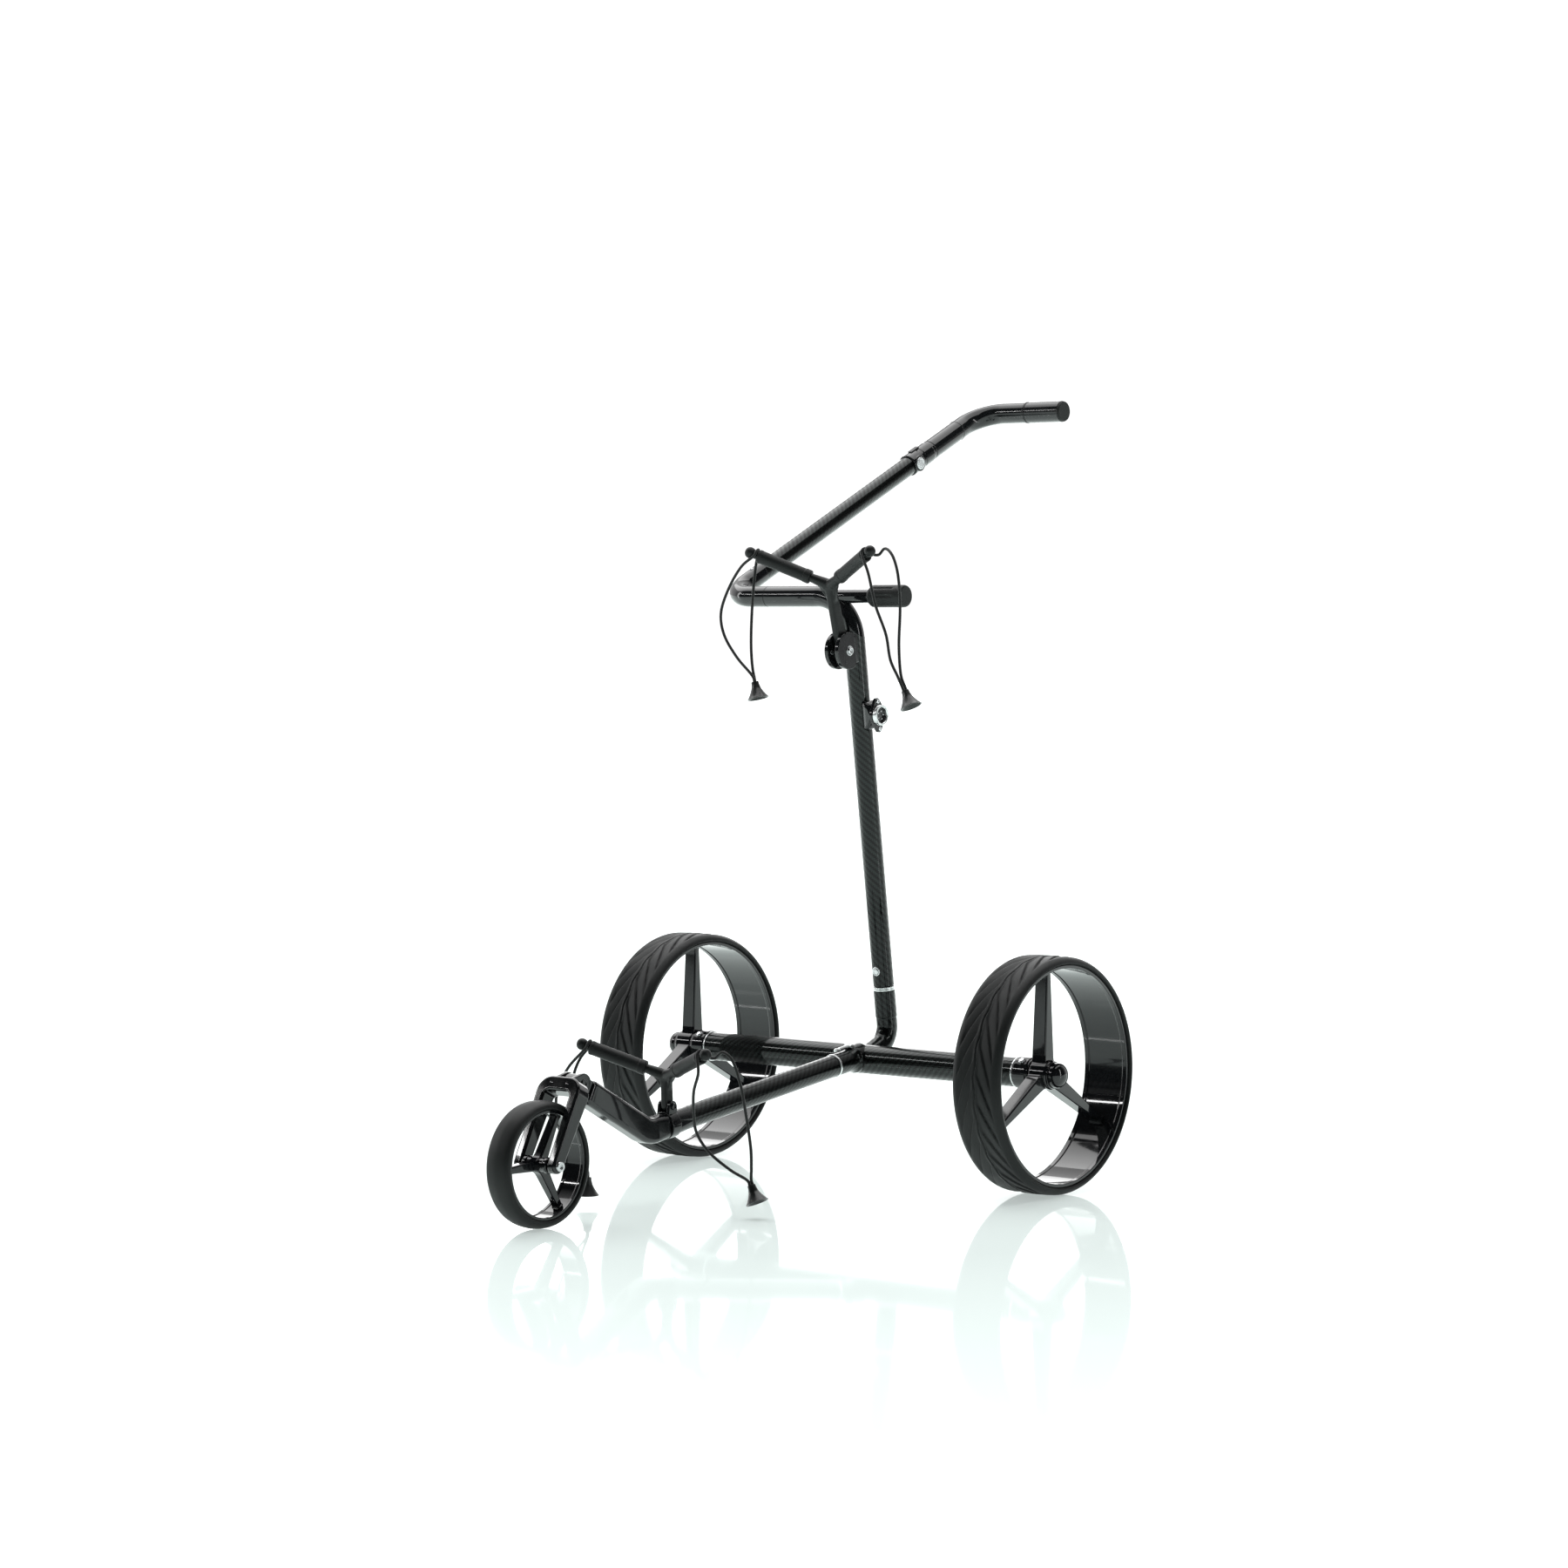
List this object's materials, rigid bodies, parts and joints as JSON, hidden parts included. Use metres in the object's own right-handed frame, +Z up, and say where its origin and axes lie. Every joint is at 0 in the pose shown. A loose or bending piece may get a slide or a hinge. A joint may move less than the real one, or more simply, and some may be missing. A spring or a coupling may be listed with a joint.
{
  "type": "push cart",
  "caption": "Three-wheel push cart with a folding front fork, a lift-off mast, a turning Z-shaped handle and two cradles with elastic cords.",
  "frame": {"origin": "on the floor under the middle of the cart's box, cords and cones left out", "axes": "+Z up, +X to the cart's left side, -Y towards the front wheel"},
  "size_m": [0.611, 1.1618, 0.9583],
  "materials": {
    "carbon": "clear-coated carbon twill, gloss",
    "gloss_black": "gloss black",
    "rim": "gloss black",
    "tyre": "matte black rubber",
    "rubber": "matte black rubber",
    "polished": "polished silver",
    "steel": "bright steel",
    "button": "silver-white satin",
    "cord": "black braided elastic",
    "cone": "black moulded"
  },
  "bodies": {
    "chassis": {"axle_tube": "carbon", "axle_ring_left": "polished", "axle_ring_right": "polished", "axle_sleeve_left": "gloss_black", "axle_sleeve_right": "gloss_black", "keel_socket": "carbon", "keel_ring": "polished", "mast_foot": "carbon", "mast_ring": "polished"},
    "wheel_button_left": {"wheel_button_left": "steel"},
    "wheel_button_right": {"wheel_button_right": "steel"},
    "stub_left": {"stub_axle_left": "steel"},
    "stub_right": {"stub_axle_right": "steel"},
    "wheel_left": {"rear_rim_left": "rim", "rear_tyre_left": "tyre", "hub_cap_left": "gloss_black"},
    "wheel_right": {"rear_rim_right": "rim", "rear_tyre_right": "tyre", "hub_cap_right": "gloss_black"},
    "keel": {"keel_tube": "carbon", "lower_clevis": "gloss_black", "lower_pivot_bolt": "steel"},
    "keel_latch": {"keel_latch": "polished"},
    "fork": {"fork": "gloss_black", "fork_pivot_pin": "steel", "front_axle_bolt": "steel"},
    "front_wheel": {"front_rim": "rim", "front_tyre": "tyre"},
    "lower_cradle": {"lower_cradle": "gloss_black", "lower_sleeve_left": "rubber", "lower_sleeve_right": "rubber", "lower_cord_left": "cord", "lower_cord_right": "cord", "lower_cone_left": "cone", "lower_cone_right": "cone"},
    "mast": {"mast_tube": "carbon", "socket_base": "gloss_black", "socket_screw_top": "steel", "socket_screw_bottom": "steel", "socket_ring": "polished", "socket_insert": "gloss_black", "upper_clevis": "gloss_black", "upper_pivot_bolt": "steel"},
    "mast_button": {"mast_button": "steel"},
    "upper_cradle": {"upper_cradle": "gloss_black", "upper_sleeve_left": "rubber", "upper_sleeve_right": "rubber", "upper_cord_left": "cord", "upper_cord_right": "cord", "upper_cone_left": "cone", "upper_cone_right": "cone"},
    "release": {"release_rod": "gloss_black", "release_knob": "rubber"},
    "handle_arm": {"handle_lower_tube": "carbon"},
    "handle_top": {"handle_collar": "gloss_black", "handle_upper_tube": "carbon", "grip_ring": "polished", "grip": "rubber", "grip_cap": "gloss_black"},
    "handle_button": {"handle_button": "button"}
  },
  "joints": [
    {"name": "wheel_button_left_press", "type": "slide", "parent": "chassis", "child": "wheel_button_left", "axis": [0, 0.6198, -0.7848], "range_m": [0, 0.0022], "stiffness_N_per_m": 400},
    {"name": "wheel_button_right_press", "type": "slide", "parent": "chassis", "child": "wheel_button_right", "axis": [0, 0.6198, -0.7848], "range_m": [0, 0.0022], "stiffness_N_per_m": 400},
    {"name": "wheel_release_left", "type": "slide", "parent": "chassis", "child": "stub_left", "axis": [1, 0, 0], "range_m": [0, 0.048]},
    {"name": "wheel_release_right", "type": "slide", "parent": "chassis", "child": "stub_right", "axis": [-1, 0, 0], "range_m": [0, 0.048]},
    {"name": "wheel_spin_left", "type": "hinge", "parent": "stub_left", "child": "wheel_left", "pos_m": [0.2718, 0.06987, 0.14], "axis": [1, 0, 0], "continuous": true},
    {"name": "wheel_spin_right", "type": "hinge", "parent": "stub_right", "child": "wheel_right", "pos_m": [-0.2718, 0.06987, 0.14], "axis": [1, 0, 0], "continuous": true},
    {"name": "keel_pull_out", "type": "slide", "parent": "chassis", "child": "keel", "axis": [0, -0.991, -0.1341], "range_m": [0, 0.028]},
    {"name": "keel_latch_lift", "type": "hinge", "parent": "chassis", "child": "keel_latch", "pos_m": [0, 0.0464, 0.157], "axis": [-1, 0, 0], "range_deg": [0, 50]},
    {"name": "fork_fold", "type": "hinge", "parent": "keel", "child": "fork", "pos_m": [0, -0.45013, 0.156], "axis": [-1, 0, 0], "range_deg": [0, 100]},
    {"name": "front_wheel_spin", "type": "hinge", "parent": "fork", "child": "front_wheel", "pos_m": [0, -0.50983, 0.0711], "axis": [1, 0, 0], "continuous": true},
    {"name": "lower_cradle_fold", "type": "hinge", "parent": "keel", "child": "lower_cradle", "pos_m": [0, -0.29163, 0.116], "axis": [-1, 0, 0], "range_deg": [0, 75]},
    {"name": "mast_lift", "type": "slide", "parent": "chassis", "child": "mast", "axis": [0, -0.1372, 0.9905], "range_m": [0, 0.05]},
    {"name": "mast_button_press", "type": "slide", "parent": "mast", "child": "mast_button", "axis": [0, 0.9905, 0.1372], "range_m": [0, 0.0022], "stiffness_N_per_m": 400},
    {"name": "upper_cradle_fold", "type": "hinge", "parent": "mast", "child": "upper_cradle", "pos_m": [0, 0.03237, 0.6354], "axis": [1, 0, 0], "range_deg": [0, 70]},
    {"name": "knob_pull", "type": "slide", "parent": "mast", "child": "release", "axis": [1, 0, 0], "range_m": [0, 0.01], "stiffness_N_per_m": 400},
    {"name": "handle_fold", "type": "hinge", "parent": "mast", "child": "handle_arm", "pos_m": [0, 0.04797, 0.7008], "axis": [1, 0, 0], "range_deg": [0, 150]},
    {"name": "handle_extend", "type": "slide", "parent": "handle_arm", "child": "handle_top", "axis": [0, 0.9051, 0.4253], "range_m": [-0.05, 0.025]},
    {"name": "handle_button_press", "type": "slide", "parent": "handle_top", "child": "handle_button", "axis": [-1, 0, 0], "range_m": [0, 0.0018], "stiffness_N_per_m": 400}
  ]
}
